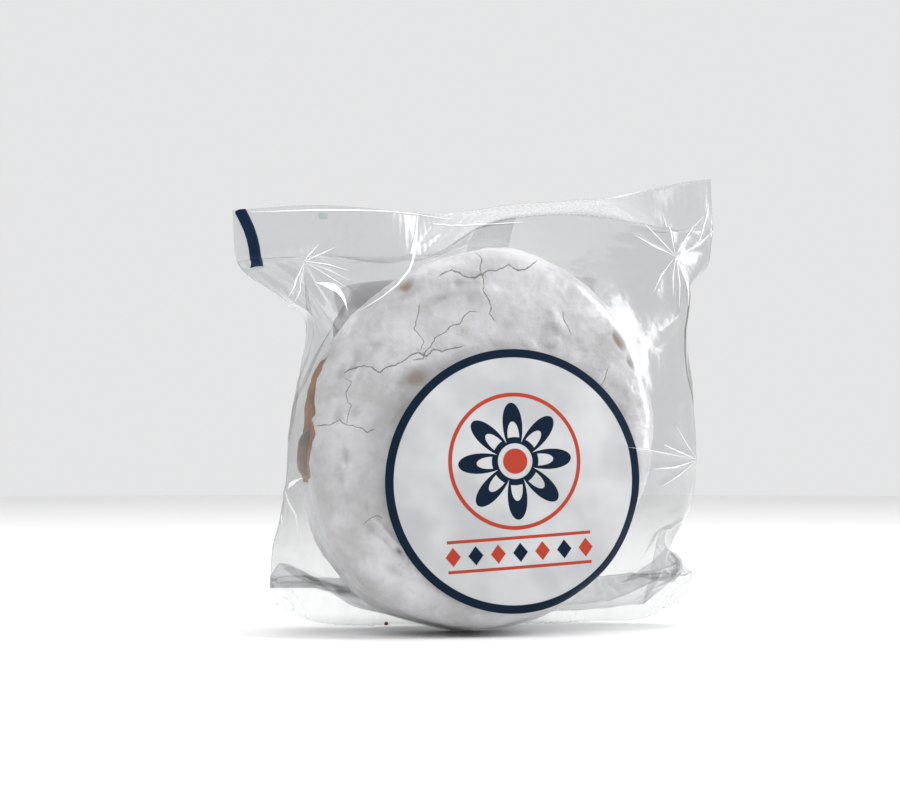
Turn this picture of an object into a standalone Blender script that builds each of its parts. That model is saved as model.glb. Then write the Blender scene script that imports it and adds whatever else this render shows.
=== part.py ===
"""Alfajor standing on its edge in a sealed clear flow-pack bag, with a paper label on the back.

The bag is one closed solid out to the film's outer surface: a tube lofted from the foot, round the
biscuit and up into the crimped top seal, with the crimped foot seal standing behind it.
X runs along the top seal, the front faces -Y and +Z is up; the origin is the bottom centre of the box.
"""

import math

import bpy
import numpy as np

# ---- driving dimensions, metres ----
SEAM_LENGTH = 0.0443          # half the length of the top seal
SEAL_HEIGHT = 0.0095
SEAL_THICKNESS = 0.0009
FOOT_SEAL_MIDDLE = 0.0042     # middle and half length of the foot seal
FOOT_SEAL_REACH = 0.0392
FOOT_SEAL_TIP = 0.0030        # how far it tips forward as it rises
FOOT_SEAL_LIFT = 0.0036       # its ends are lifted off the table this far
LABEL_WIDTH = 0.0493
LABEL_HEIGHT = 0.036
LABEL_THICKNESS = 0.0004
LABEL_GAP = 0.0003
LABEL_CENTRE_X = 0.0003
LABEL_TOP_Z = 0.0620
LABEL_LEAN = math.atan(0.25)  # the flat of the back leans forward as it rises
COLUMNS = 36                  # points across one side of the tube
BOX_MIDDLE_Y = 0.0003         # middle of the finished box, on the scale of the depths below

# The tube's two side folds, each side's half widths and the height of its narrow neck.
FOOT_HALF = 0.012             # where the tube meets the table
FOOT_ROUND = 0.011            # height over which it widens from there
BODY_LEFT, NECK_LEFT, NECK_HEIGHT_LEFT = 0.036, 0.0315, 0.055
BODY_RIGHT, NECK_RIGHT, NECK_HEIGHT_RIGHT = 0.0425, 0.0395, 0.062
NECK_FROM = 0.030             # the sides draw in from here to the neck
PINCH_DEPTH, PINCH_HEIGHT, PINCH_REACH = 0.0045, 0.016, 0.005   # the right side is pinched in low down

# Depths of the tube midway between the folds.
SEAL_LINE = 0.070             # usual height at which the tube goes into the top seal
SEAL_Y = -0.003
FOLD_FORWARD = 0.0035         # the side folds bow forward this much at half height
FRONT_DEPTH = 0.0165          # the front stands this far before the seal
BACK_DEPTH = 0.0235
FLAT_FROM, FLAT_TO, FLAT_FADE = 0.0245, 0.0625, 0.012   # heights of the flat for the label

# The top seal rises to the right and tips back in its right half.
TOP_LEFT_Z, TOP_RISE, RISE_FROM, TOP_WAVE = 0.0762, 0.0068, -0.0055, 0.0005
TIP_MOST, TIP_MIDDLE, TIP_REACH = 1.3, 0.0125, 0.021


def smooth(share):
    """A step from 0 to 1 with level ends."""
    share = np.clip(share, 0, 1)
    return share * share * (3 - 2 * share)


def side_reach(height, body, neck, neck_height, pinch):
    """Half width of the tube on one side: a round foot, the body, a neck and the flare to the seal."""
    to_neck = smooth((height - NECK_FROM) / (neck_height - NECK_FROM))
    to_seal = smooth((height - neck_height) / (SEAL_LINE - neck_height))
    reach = body + (neck - body) * to_neck + (SEAM_LENGTH - neck) * to_seal
    reach = reach - pinch * np.exp(-(((height - PINCH_HEIGHT) / PINCH_REACH) ** 2))
    foot = np.sqrt(1 - (1 - np.minimum(height / FOOT_ROUND, 1)) ** 2)
    return FOOT_HALF + (reach - FOOT_HALF) * foot


def back_plane(height):
    """The flat of the back that carries the label, leaning forward as it rises."""
    return 0.0199 - (height - 0.026) * math.tan(LABEL_LEAN)


def belly_ring(height, lift, across):
    """One closed loop round the tube, front left to right and back again, as two rows of points."""
    left = -side_reach(height, BODY_LEFT, NECK_LEFT, NECK_HEIGHT_LEFT, 0.0)
    right = side_reach(height, BODY_RIGHT, NECK_RIGHT, NECK_HEIGHT_RIGHT, PINCH_DEPTH)
    share = height / SEAL_LINE
    fold_y = SEAL_Y * share - FOLD_FORWARD * math.sin(math.pi * share)
    fullness = 1.8 + 1.2 * math.sin(math.pi * share * 0.87)
    front = SEAL_Y - 0.001 - FRONT_DEPTH * math.sqrt(1 - share ** 4) * (0.65 + 0.35 * smooth(height / 0.008))
    back = SEAL_Y + BACK_DEPTH * math.sqrt(1 - share ** 6) * (0.55 + 0.45 * smooth(height / 0.010))
    x = left + (right - left) * (across + 1) / 2
    z = height + lift * (seal_line_height(x) - SEAL_LINE)
    swell = (1 - np.abs(across) ** fullness) ** 0.8
    flat = smooth((height - FLAT_FROM + FLAT_FADE) / FLAT_FADE) * smooth((FLAT_TO + FLAT_FADE / 2 - height)
                                                                         / (FLAT_FADE / 2))
    back = back + flat * (back_plane(z) - back)
    back_swell = swell + flat * (np.clip((1 - np.abs(across)) / 0.24, 0, 1) ** 0.8 - swell)
    rim = SEAL_THICKNESS / 2
    front_y = fold_y - rim + (front - fold_y) * swell
    back_y = fold_y + rim + (back - fold_y) * back_swell
    return np.stack([x, front_y, z], 1), np.stack([x, back_y, z], 1)


def seal_tip(x):
    """How far the top seal tips back from upright, in radians."""
    return TIP_MOST * np.exp(-(((x - TIP_MIDDLE) / TIP_REACH) ** 4))


def seal_line_height(x):
    """Height of the line where the tube goes into the top seal."""
    rise = TOP_RISE * np.clip((x - RISE_FROM) / (SEAM_LENGTH - RISE_FROM), 0, 1)
    edge = TOP_LEFT_Z + rise + TOP_WAVE * np.sin(x / 0.006)
    return edge - SEAL_HEIGHT * np.cos(seal_tip(x))


def top_seal_ring(part, across):
    """Loop in the top seal, part 0 at its foot and 1 at its cut edge; it tips back as it rises."""
    x = SEAM_LENGTH * across
    tip = seal_tip(x)
    y = SEAL_Y + part * SEAL_HEIGHT * np.sin(tip)
    z = seal_line_height(x) + part * SEAL_HEIGHT * np.cos(tip)
    half = SEAL_THICKNESS / 2
    front = np.stack([x, y - half * np.cos(tip), z + half * np.sin(tip)], 1)
    back = np.stack([x, y + half * np.cos(tip), z - half * np.sin(tip)], 1)
    return front, back


def loft(name, sides):
    """Closed mesh through pairs of rows: front rows, back rows, and a cap at either end."""
    count = len(sides[0][0])
    points = []
    for front, back in sides:
        points.extend(front)
        points.extend(back)
    faces = []
    stride = 2 * count
    for k in range(len(sides) - 1):
        low, high = k * stride, (k + 1) * stride
        for i in range(count - 1):
            faces.append((low + i, low + i + 1, high + i + 1, high + i))
            faces.append((low + count + i + 1, low + count + i, high + count + i, high + count + i + 1))
        faces.append((low + count, low, high, high + count))
        faces.append((low + count - 1, low + stride - 1, high + stride - 1, high + count - 1))
    top = (len(sides) - 1) * stride
    for i in range(count - 1):
        faces.append((i + 1, i, count + i, count + i + 1))
        faces.append((top + i, top + i + 1, top + count + i + 1, top + count + i))
    mesh = bpy.data.meshes.new(name)
    mesh.from_pydata([tuple(float(value) for value in point) for point in points], [], faces)
    mesh.validate()
    return bpy.data.objects.new(name, mesh)


def make_material(name, colour, roughness, alpha=1.0):
    """Principled material of one colour."""
    material = bpy.data.materials.new(name)
    material.use_nodes = True
    shader = material.node_tree.nodes["Principled BSDF"]
    shader.inputs["Base Color"].default_value = (*colour, 1.0)
    shader.inputs["Roughness"].default_value = roughness
    shader.inputs["Alpha"].default_value = alpha
    return material


def build_tube(across):
    """The tube from its flat foot round the biscuit and into the top seal."""
    heights = np.concatenate([
        np.linspace(0.0, 0.0125, 6),
        np.linspace(0.0160, 0.0600, 14),
        np.linspace(0.0630, 0.0695, 4),
    ])
    sides = []
    for height in heights:
        lift = max(0.0, (height - 0.052) / 0.018) ** 2
        sides.append(belly_ring(height, lift, across))
    for part in np.linspace(0.0, 1.0, 4):
        sides.append(top_seal_ring(part, across))
    return loft("bag", sides)


def build_foot_seal(across):
    """The crimped foot seal: a thin wall that stands on its cut edge and tips forward. In plan it
    waves, its right end lies further forward, and both ends are lifted."""
    x = FOOT_SEAL_MIDDLE + FOOT_SEAL_REACH * across
    line = 0.0109 + 0.0025 * across ** 2 - 0.0070 * np.maximum(across, 0) ** 3
    line = line + 0.001 * np.sin(7 * across + 2)
    to_end = FOOT_SEAL_REACH * (1 - np.abs(across))
    low = FOOT_SEAL_LIFT * np.exp(-((to_end / 0.006) ** 2))
    half = SEAL_THICKNESS / 2
    sides = []
    for part in np.linspace(0.0, 1.0, 4):
        y = line - FOOT_SEAL_TIP * part
        z = low + (SEAL_HEIGHT - low) * part
        sides.append((np.stack([x, y - half, z], 1), np.stack([x, y + half, z], 1)))
    return loft("foot_seal", sides)


def build_label():
    """Paper label on the flat of the back: a thin plate, leaning with it."""
    bpy.ops.mesh.primitive_cube_add(size=1.0)
    label = bpy.context.object
    label.name = "back_label"
    label.scale = (LABEL_WIDTH, LABEL_THICKNESS, LABEL_HEIGHT)
    bpy.ops.object.transform_apply(location=False, rotation=False, scale=True)
    centre_z = LABEL_TOP_Z - LABEL_HEIGHT / 2 * math.cos(LABEL_LEAN)
    stand_off = SEAL_THICKNESS / 2 + (LABEL_GAP + LABEL_THICKNESS / 2) / math.cos(LABEL_LEAN)
    label.rotation_euler = (LABEL_LEAN, 0.0, 0.0)
    label.location = (LABEL_CENTRE_X, back_plane(centre_z) + stand_off, centre_z)
    return label


def put_in(item, collection):
    """Moves an object into one collection only."""
    for holder in list(item.users_collection):
        holder.objects.unlink(item)
    collection.objects.link(item)


def main():
    for item in list(bpy.data.objects):
        bpy.data.objects.remove(item, do_unlink=True)
    model = bpy.data.collections.new("alfajor_in_bag")
    cutters = bpy.data.collections.new("joined_shapes")
    bpy.context.scene.collection.children.link(model)
    bpy.context.scene.collection.children.link(cutters)

    even = np.linspace(-1, 1, COLUMNS)
    across = 0.35 * np.sin(even * math.pi / 2) + 0.65 * even
    bag = build_tube(across)
    put_in(bag, model)
    foot_seal = build_foot_seal(across)
    put_in(foot_seal, cutters)
    foot_seal.hide_render = True
    foot_seal.display_type = "WIRE"
    union = bag.modifiers.new("foot seal", "BOOLEAN")
    union.operation = "UNION"
    union.object = foot_seal
    bag.data.materials.append(make_material("clear film over biscuit", (0.66, 0.65, 0.64), 0.2))

    label = build_label()
    put_in(label, model)
    label.data.materials.append(make_material("label paper", (0.86, 0.86, 0.84), 0.55))

    pack = bpy.data.objects.new("pack", None)
    model.objects.link(pack)
    pack.location = (0.0, -BOX_MIDDLE_Y, 0.0)
    for item in (bag, foot_seal, label):
        item.parent = pack


main()
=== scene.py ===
"""Alfajor in a sealed clear bag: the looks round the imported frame.

Lengths are in millimetres. x runs to the right and y to the back from the middle of the standing
biscuit, z is the height over the table, and put_mesh moves each finished piece into the frame.
"""

import math

import bpy
import numpy as np
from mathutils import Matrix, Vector


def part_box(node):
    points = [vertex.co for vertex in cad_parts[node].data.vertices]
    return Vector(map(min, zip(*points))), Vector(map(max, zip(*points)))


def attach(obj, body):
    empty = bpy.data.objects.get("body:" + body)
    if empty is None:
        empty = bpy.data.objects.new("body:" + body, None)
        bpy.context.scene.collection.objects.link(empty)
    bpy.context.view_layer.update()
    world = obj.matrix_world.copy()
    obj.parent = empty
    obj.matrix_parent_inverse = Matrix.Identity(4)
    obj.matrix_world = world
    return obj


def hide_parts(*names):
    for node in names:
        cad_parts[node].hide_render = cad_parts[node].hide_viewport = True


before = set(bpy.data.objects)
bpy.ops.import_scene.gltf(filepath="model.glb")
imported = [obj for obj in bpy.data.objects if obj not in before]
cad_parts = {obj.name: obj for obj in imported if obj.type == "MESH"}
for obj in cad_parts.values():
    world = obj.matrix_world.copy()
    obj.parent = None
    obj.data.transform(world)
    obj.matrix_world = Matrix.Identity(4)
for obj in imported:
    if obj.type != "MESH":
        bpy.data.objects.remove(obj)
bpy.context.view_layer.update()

# ---------------------------------------------------------------------------------------------
# Table, light and camera. The pack stands on a pale round table top in even studio light, and the
# camera stands low and a little to the left, level with the middle of the biscuit.
# ---------------------------------------------------------------------------------------------

MM = 0.001
BISCUIT_THICK = 23.0
BISCUIT_MIDDLE = 34.4          # height of the biscuit's middle over the table
FILM_FRONT_PLAY = 4.3          # the bag's front stands this far before the biscuit
SEAL_LEFT = -42.7              # ends of the top seal
SEAL_RIGHT = 45.9
bag_low, bag_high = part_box("bag")
PLACE = np.array([
    (bag_low.x + bag_high.x) / 2 / MM - (SEAL_LEFT + SEAL_RIGHT) / 2,
    bag_low.y / MM + BISCUIT_THICK / 2 + FILM_FRONT_PLAY,
    0.0,
])

CAMERA_TURN = math.radians(-12.5)
CAMERA_DISTANCE = 420.0
CAMERA_HEIGHT = 33.5
CAMERA_LENS = 93.4
AIM_LEFT = 3.64                # the view's middle lies this far left of the origin, and this far
AIM_UP = 7.5                   # above the camera
TABLE_RADIUS = 1180.0


class Value:
    """One socket of a material's nodes; arithmetic on it adds Math nodes."""

    def __init__(self, finish, socket):
        self.finish = finish
        self.socket = socket

    def of(self, name):
        """Another output of the node that this value comes from."""
        return Value(self.finish, self.socket.node.outputs[name])

    def maths(self, operation, *terms):
        return self.finish.add("ShaderNodeMath", {"operation": operation}, dict(enumerate(terms)))

    def __add__(self, other):
        return self.maths("ADD", self, other)

    def __radd__(self, other):
        return self.maths("ADD", other, self)

    def __sub__(self, other):
        return self.maths("SUBTRACT", self, other)

    def __rsub__(self, other):
        return self.maths("SUBTRACT", other, self)

    def __mul__(self, other):
        return self.maths("MULTIPLY", self, other)

    def __rmul__(self, other):
        return self.maths("MULTIPLY", other, self)

    def __truediv__(self, other):
        return self.maths("DIVIDE", self, other)

    def __pow__(self, other):
        return self.maths("POWER", self, other)

    def root(self):
        return self.maths("SQRT", self)

    def least(self, other):
        return self.maths("MINIMUM", self, other)

    def most(self, other):
        return self.maths("MAXIMUM", self, other)

    def size(self):
        return self.maths("ABSOLUTE", self)

    def ramp(self, start, end):
        """0 below start, 1 above end and a smooth step between them; start may be the larger."""
        settings = {"interpolation_type": "SMOOTHSTEP"}
        return self.finish.add("ShaderNodeMapRange", settings, {0: self, 1: start, 2: end})


class Finish:
    """A material being made: add() puts in any node, and shader is its Principled node."""

    def __init__(self, name):
        self.material = bpy.data.materials.new(name)
        self.material.use_nodes = True
        self.tree = self.material.node_tree
        self.shader = self.tree.nodes["Principled BSDF"]
        self.end = self.tree.nodes["Material Output"]

    def feed(self, node, inputs):
        """Sets a node's sockets, by name or number, to values or links."""
        for key, given in inputs.items():
            if isinstance(given, Value):
                self.tree.links.new(given.socket, node.inputs[key])
            else:
                node.inputs[key].default_value = given

    def add(self, kind, settings=None, inputs=None):
        """A node of a kind: its settings first, then its sockets; gives its first output."""
        node = self.tree.nodes.new(kind)
        for key, given in (settings or {}).items():
            setattr(node, key, given)
        self.feed(node, inputs or {})
        shown = next(socket for socket in node.outputs if socket.enabled)
        return Value(self, shown)

    def mix(self, share, first, second):
        """Colour between two colours, by a share from 0 to 1."""
        settings = {"data_type": "RGBA"}
        return self.add("ShaderNodeMix", settings, {0: share, 6: first, 7: second})

    def noise(self, where, scale, detail=2.0, roughness=0.5):
        """Soft noise from 0 to 1, scale in bumps a metre."""
        inputs = {"Vector": where, "Scale": scale, "Detail": detail, "Roughness": roughness}
        return self.add("ShaderNodeTexNoise", {}, inputs)

    def place(self):
        """Object coordinates, in metres."""
        return self.add("ShaderNodeTexCoord").of("Object")

    def bump(self, height, depth, strength=1.0):
        """Normal of a relief whose height runs from 0 to 1 over a depth in millimetres."""
        inputs = {"Height": height, "Distance": depth * MM, "Strength": strength}
        return self.add("ShaderNodeBump", {}, inputs)


def put_mesh(name, points, faces, inside=None, smooth=True):
    """Object from points in millimetres and four-cornered faces; faces turn away from inside."""
    points = np.asarray(points, float).reshape(-1, 3)
    if inside is not None:
        corners = points[faces]
        turned = np.cross(corners[:, 2] - corners[:, 0], corners[:, 3] - corners[:, 1])
        if np.sum(turned * (corners.mean(1) - np.asarray(inside))) < 0:
            faces = faces[:, ::-1]
    mesh = bpy.data.meshes.new(name)
    mesh.vertices.add(len(points))
    mesh.vertices.foreach_set("co", ((points + PLACE) * MM).ravel())
    mesh.loops.add(faces.size)
    mesh.loops.foreach_set("vertex_index", np.ascontiguousarray(faces).ravel())
    mesh.polygons.add(len(faces))
    mesh.polygons.foreach_set("loop_start", np.arange(len(faces)) * 4)
    mesh.update(calc_edges=True)
    if smooth:
        mesh.shade_smooth()
    piece = bpy.data.objects.new(name, mesh)
    bpy.context.scene.collection.objects.link(piece)
    return piece


def grid_faces(rows, columns, closed=False):
    """Faces of a grid of points, row by row; closed joins the last column to the first."""
    spots = np.arange(rows * columns).reshape(rows, columns)
    beside = np.roll(spots, -1, axis=1)
    quads = np.stack([spots[:-1], beside[:-1], beside[1:], spots[1:]], axis=-1)
    return quads[:, : None if closed else -1].reshape(-1, 4)


def table_top():
    """Flat round table top: rings of points, closer together near the pack."""
    rings = TABLE_RADIUS * np.linspace(0.0, 1.0, 40)[:, None] ** 1.5
    turn = np.linspace(0, 2 * np.pi, 160, endpoint=False)[None]
    points = np.stack([rings * np.cos(turn), rings * np.sin(turn), 0 * rings * turn], axis=-1)
    return put_mesh("table_top", points, grid_faces(40, 160, closed=True), inside=(0, 0, -50))


def studio_light(name, place, aim, width, height, power):
    """Softbox at a place, facing a point, with its size in millimetres and power in watts."""
    lamp = bpy.data.lights.new(name, "AREA")
    lamp.shape = "RECTANGLE"
    lamp.size = width * MM
    lamp.size_y = height * MM
    lamp.energy = power
    holder = bpy.data.objects.new(name, lamp)
    bpy.context.scene.collection.objects.link(holder)
    holder.location = Vector(place) * MM
    holder.rotation_euler = (Vector(aim) - Vector(place)).to_track_quat("-Z", "Y").to_euler()
    return holder


table = table_top()
paint = Finish("pale table paint")
grain = paint.noise(paint.place(), 60.0)
paint.feed(paint.shader, {
    "Base Color": paint.mix(grain, (0.80, 0.80, 0.80, 1), (0.83, 0.83, 0.825, 1)),
    "Roughness": 0.7,
})
table.data.materials.append(paint.material)

studio_light("key_softbox", (-420, -480, 560), (0, 0, 40), 420, 420, 2.0)
studio_light("right_softbox", (560, -260, 330), (0, 0, 40), 260, 420, 3.2)
studio_light("top_softbox", (60, 120, 700), (0, 0, 30), 1000, 800, 3.6)

world = bpy.data.worlds.new("studio")
world.use_nodes = True
world.node_tree.nodes["Background"].inputs["Color"].default_value = (0.78, 0.785, 0.79, 1)
world.node_tree.nodes["Background"].inputs["Strength"].default_value = 1.0
bpy.context.scene.world = world
bpy.context.scene.view_settings.view_transform = "Standard"

sight = Vector((-math.sin(CAMERA_TURN), math.cos(CAMERA_TURN), 0.0))
across_sight = Vector((sight.y, -sight.x, 0.0))
level_point = Vector((*PLACE[:2], CAMERA_HEIGHT)) * MM
camera = bpy.data.objects.new("camera", bpy.data.cameras.new("camera"))
bpy.context.scene.collection.objects.link(camera)
camera.data.lens = CAMERA_LENS
camera.data.sensor_width = 36.0
camera.location = level_point - sight * CAMERA_DISTANCE * MM
aim = level_point - across_sight * AIM_LEFT * MM + Vector((0, 0, AIM_UP * MM))
camera.rotation_euler = (aim - camera.location).to_track_quat("-Z", "Y").to_euler()
bpy.context.scene.camera = camera

# ---------------------------------------------------------------------------------------------
# The two biscuits. Soft cornstarch biscuits baked to a light brown, each a thick disc with a
# rounded shoulder. The pair stands on edge and leans back on the film behind it.
# ---------------------------------------------------------------------------------------------

LEAN = math.radians(4.5)
BISCUIT_X = 0.8
LONG_RADIUS = 34.0             # the outline is an ellipse, its long axis turned up to the right
SHORT_RADIUS = 30.8
LONG_AXIS = math.radians(69.0)
SHOULDER = 4.2
INNER_SHOULDER = 2.4
FACE_DOME = 0.45               # the faces rise this much towards their middle
BISCUIT_LAYER = 8.4
GLAZE = 0.9                    # usual thickness of the glaze
BARE_FROM = 146.0              # the glaze broke off this stretch of the side, in degrees
BARE_TO = 194.0


def lumps(x, y, size, seed):
    """Soft lumps from -1 to 1: random heights on a turned square lattice of a size, blended by a
    smooth step between the four nearest corners."""
    heights = np.random.default_rng(seed).uniform(-1, 1, (128, 128))
    turn = 0.7 + seed
    u = (x * math.cos(turn) - y * math.sin(turn)) / size + 64
    v = (x * math.sin(turn) + y * math.cos(turn)) / size + 64
    i, j = np.floor(u).astype(int), np.floor(v).astype(int)
    s, t = u - i, v - j
    s, t = s * s * (3 - 2 * s), t * t * (3 - 2 * t)
    i0, j0, i1, j1 = i % 128, j % 128, (i + 1) % 128, (j + 1) % 128
    low = heights[i0, j0] * (1 - s) + heights[i1, j0] * s
    high = heights[i0, j1] * (1 - s) + heights[i1, j1] * s
    return low * (1 - t) + high * t


def outline(angle):
    """Radius of the biscuit's outline at an angle from +x: the ellipse, with slow bulges."""
    turned = angle - LONG_AXIS
    ellipse = 1 / np.sqrt((np.cos(turned) / LONG_RADIUS) ** 2 + (np.sin(turned) / SHORT_RADIUS) ** 2)
    bulges = 0.22 * np.sin(5 * angle + 1.0) + 0.16 * np.sin(9 * angle + 2.2) + 0.12 * np.sin(14 * angle)
    return ellipse + bulges


def stand(x, y, z):
    """Points on the lying-back biscuit, given from its middle, stood up on the table."""
    up = z * math.cos(LEAN) - y * math.sin(LEAN) + BISCUIT_MIDDLE
    back = y * math.cos(LEAN) + z * math.sin(LEAN)
    return np.stack([x + BISCUIT_X + 0 * up, back, up], axis=-1)


def disc_section(part, radius, thick, first, second):
    """Half section of a disc by a part from 0, one face's middle, to 1, the other face's middle:
    out over the face, round the first shoulder, along the side, round the second shoulder and
    back in. Gives the radius and the depth under the first face."""
    face, bend, side = radius - first, first * np.pi / 2, thick - first - second
    end, end_bend = radius - second, second * np.pi / 2
    run = part * (face + bend + side + end_bend + end)
    turn_a = np.clip((run - face) / first, 0, np.pi / 2)
    turn_b = np.clip((run - face - bend - side) / second, 0, np.pi / 2)
    out = np.clip(run, 0, face) - np.clip(run - face - bend - side - end_bend, 0, end)
    out = out + first * np.sin(turn_a) + second * (np.cos(turn_b) - 1)
    deep = first * (1 - np.cos(turn_a)) + np.clip(run - face - bend, 0, side)
    deep = deep + second * np.sin(turn_b)
    return out, deep


def bare_share(angle, spread=1.0):
    """1 over the bare stretch of the side and 0 elsewhere, with ragged ends, longer by a spread."""
    ragged = np.degrees(angle) + 2.0 * spread * lumps(30 * angle, 0 * angle, 2.3, 41)
    start, end = (ragged - BARE_FROM) / (4.0 * spread), (BARE_TO - ragged) / (1.5 * spread)
    return np.clip(start, 0, 1) * np.clip(end, 0, 1)


def biscuit(name, side, seed):
    """Disc with rounded shoulders on the outline, under the glaze; its outer face is domed and its
    side is uneven with crumb and stands out where no glaze covers it. side is -1 for the front
    one and 1 for the back one."""
    angle = np.linspace(0, 2 * np.pi, 420, endpoint=False)[None]
    part = np.linspace(0.0, 1.0, 110)[:, None]
    radius = outline(angle) - GLAZE - 0.1
    out, deep = disc_section(part, radius, BISCUIT_LAYER, SHOULDER, INNER_SHOULDER)
    crumb = 0.14 * lumps(radius * angle, 3 * deep, 1.1, seed) + 0.20 * lumps(radius * angle, deep, 3.1, seed + 1)
    dome = FACE_DOME * np.minimum(out / (radius - SHOULDER), 1.2) ** 2
    under = 1 - deep / BISCUIT_LAYER
    swell = crumb + 0.9 * bare_share(angle)
    out = out * (1 + swell * np.clip(deep / SHOULDER - 0.5, 0, 1) / radius)
    y = side * (BISCUIT_THICK / 2 - GLAZE - 0.1 - deep - dome * under)
    return put_mesh(name, stand(out * np.cos(angle), y, out * np.sin(angle)),
                    grid_faces(110, 420, closed=True), inside=stand(0, side * BISCUIT_THICK / 4, 0))


def baked():
    """Baked biscuit: brown mottled by its crumb, dull, with a fine rough relief."""
    finish = Finish("baked biscuit")
    place = finish.place()
    patches = finish.noise(place, 220.0, 4.0, 0.6)
    crumb = finish.noise(place, 1500.0, 3.0, 0.6)
    brown = finish.mix(patches.ramp(0.35, 0.68), (0.17, 0.055, 0.014, 1), (0.33, 0.125, 0.035, 1))
    finish.feed(finish.shader, {
        "Base Color": finish.mix(crumb.ramp(0.62, 0.75), brown, (0.48, 0.29, 0.15, 1)),
        "Roughness": 0.72,
        "Normal": finish.bump(crumb, 0.35),
    })
    return finish.material


baked_biscuit = baked()
front_biscuit = biscuit("front_biscuit", -1, 11)
back_biscuit = biscuit("back_biscuit", 1, 21)
for piece in (front_biscuit, back_biscuit):
    piece.data.materials.append(baked_biscuit)
    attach(piece, "root")
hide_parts("bag")

# ---------------------------------------------------------------------------------------------
# The filling. Milk caramel spread between the biscuits; it is pressed out a little at the rim,
# most on the left, where the glaze leaves it bare, and stays glossy.
# ---------------------------------------------------------------------------------------------

FILLING_BULGE_AT = math.radians(184.0)


def filling():
    """Disc between the biscuits whose rim is an arch; round one angle it bulges out and has run
    over the biscuits' sides."""
    thick = BISCUIT_THICK - 2 * (GLAZE + BISCUIT_LAYER) + 0.5
    angle = np.linspace(0, 2 * np.pi, 420, endpoint=False)[None]
    part = np.linspace(0.0, 1.0, 60)[:, None]
    bulge = np.exp(-(((angle - FILLING_BULGE_AT) / 0.155) ** 4))
    thick = thick + 6.5 * bulge
    ooze = 0.35 * lumps(outline(angle) * angle, 0 * angle, 4.0, 31) + 2.5 * bulge
    radius = outline(angle) - GLAZE - 0.7 + ooze
    out, deep = disc_section(part, radius, thick, thick / 2 - 0.01, thick / 2 - 0.01)
    deep = deep + 0.35 * lumps(radius * angle, 2 * deep, 3.0, 32) * (out > 15)
    return put_mesh("filling", stand(out * np.cos(angle), deep - thick / 2, out * np.sin(angle)),
                    grid_faces(60, 420, closed=True), inside=stand(0, 0, 0))


def caramel():
    """Milk caramel: deep brown with lighter streaks, smooth and wet-looking."""
    finish = Finish("milk caramel")
    place = finish.place()
    streaks = finish.noise(place, 260.0, 3.0, 0.55)
    finish.feed(finish.shader, {
        "Base Color": finish.mix(streaks.ramp(0.3, 0.7), (0.040, 0.013, 0.004, 1), (0.10, 0.034, 0.011, 1)),
        "Roughness": 0.4,
        "Normal": finish.bump(streaks, 0.5),
    })
    return finish.material


caramel_layer = filling()
caramel_layer.data.materials.append(caramel())
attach(caramel_layer, "root")

# ---------------------------------------------------------------------------------------------
# The sugar glaze. Poured white glaze, dried to a lumpy half-glossy shell over both biscuits. It
# has hairline cracks, pits and thin spots, and broke away on the left over the filling.
# ---------------------------------------------------------------------------------------------

MEETING = BISCUIT_THICK / 2 - SHOULDER + 0.3   # both skirts reach the middle, but where it is bare

# Along the bare stretch the front glaze ends near the shoulder, with one tongue left hanging down
# and a bite out of it just below; the back glaze stops short of its shoulder.
TONGUE_AT, TONGUE = 174.0, 2.0
BITE_AT, BITE = 179.0, 0.9
BACK_SHORT = -1.3


def bare_skirt(angle, side):
    """How far the glaze runs down past the shoulder along the bare stretch."""
    degrees = np.degrees(angle)
    tongue = TONGUE * np.exp(-(((degrees - TONGUE_AT) / 1.0) ** 2))
    front = 0.3 + tongue - BITE * np.exp(-(((degrees - BITE_AT) / 2.5) ** 2))
    return front if side < 0 else BACK_SHORT + 0 * front


# Hairline cracks in the front, each wandering from its start: x and z from the middle, heading in
# degrees, length and width.
CRACKS = [(-25, 11, 5, 19, 0.20), (-1, 32, -95, 11, 0.15), (-2, 22, -150, 12, 0.15), (-12, 23, -80, 7, 0.14),
          (-8, 28, 5, 18, 0.18), (-29, 2, -10, 9, 0.14), (-25, 10, -80, 8, 0.11), (22, 12, -120, 3, 0.12),
          (-22, -15, 10, 3, 0.12), (14, 22, -90, 3, 0.12)]
CRACK_STEP = 1.4               # a crack turns after each stretch of about this length

# Brown places where the biscuit shines through: x, z, half width, half height, turn, depth, brownness.
BROWN_SPOTS = [(-14, 26, 1.4, 0.6, 0.5, 0.6, 0.9), (-13, 10, 2.8, 1.6, 0.3, 0.25, 0.8),
               (-25, -4, 1.0, 1.0, 0.0, 0.12, 0.22), (-16, -20, 0.6, 0.4, -0.6, 0.7, 0.75),
               (24, 17, 0.6, 1.7, 0.45, 0.8, 0.95), (26, 13, 0.4, 1.2, 0.4, 0.6, 0.7)]
# The rim's hollow dents are painted grey by their depth: painted shade, besides thin glaze.
RIM_DENTS = 26                 # dents and drops where the glaze ran and set along the rim
TOP_DROPS = 9                  # smooth drops near the top, right of the middle


def wandering(start_x, start_z, heading, length, seed):
    """Corners of a crack: even stretches from its start, each turned a little at random."""
    rng = np.random.default_rng(seed)
    count = int(round(length / CRACK_STEP)) + 1
    turns = math.radians(heading) + rng.uniform(-0.75, 0.75, count)
    steps = CRACK_STEP * rng.uniform(0.6, 1.4, count)
    x = start_x + np.concatenate([[0], np.cumsum(steps * np.cos(turns))])
    z = start_z + np.concatenate([[0], np.cumsum(steps * np.sin(turns))])
    return list(zip(x, z))


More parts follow.
